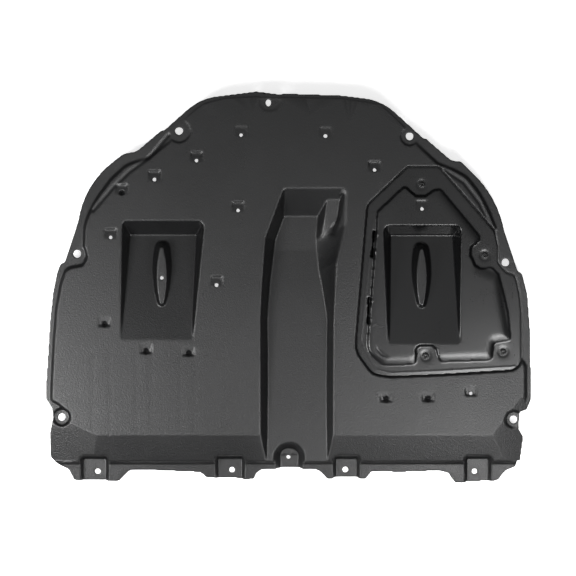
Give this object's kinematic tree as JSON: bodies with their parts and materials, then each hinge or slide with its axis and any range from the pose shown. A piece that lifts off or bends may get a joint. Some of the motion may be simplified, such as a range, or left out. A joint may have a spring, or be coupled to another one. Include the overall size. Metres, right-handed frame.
{
  "type": "engine splash shield",
  "caption": "Moulded undertray for an engine bay, with pressed pockets, a long channel, drain scoops, fixing tabs and a screwed access cover.",
  "frame": {"origin": "bottom centre of the part as it lies on its back, under the middle of its plan", "axes": "+Z is the road face, +Y points to the front of the vehicle, +X along the width"},
  "size_m": [0.971, 0.785, 0.046],
  "materials": {
    "panel_plastic": "fine leather grain, satin to matte",
    "cover_plastic": "smoother semi-gloss",
    "screw_black": "black coated",
    "clip_steel": "zinc plated"
  },
  "bodies": {
    "root": {"shield_panel": "panel_plastic", "access_cover": "cover_plastic", "cover_screw_front": "screw_black", "cover_screw_side": "screw_black", "cover_screw_rear_left": "screw_black", "cover_screw_rear_right": "screw_black", "clip_nut_front": "clip_steel", "clip_nut_side": "clip_steel", "clip_nut_rear_left": "clip_steel", "clip_nut_rear_right": "clip_steel"}
  },
  "joints": []
}
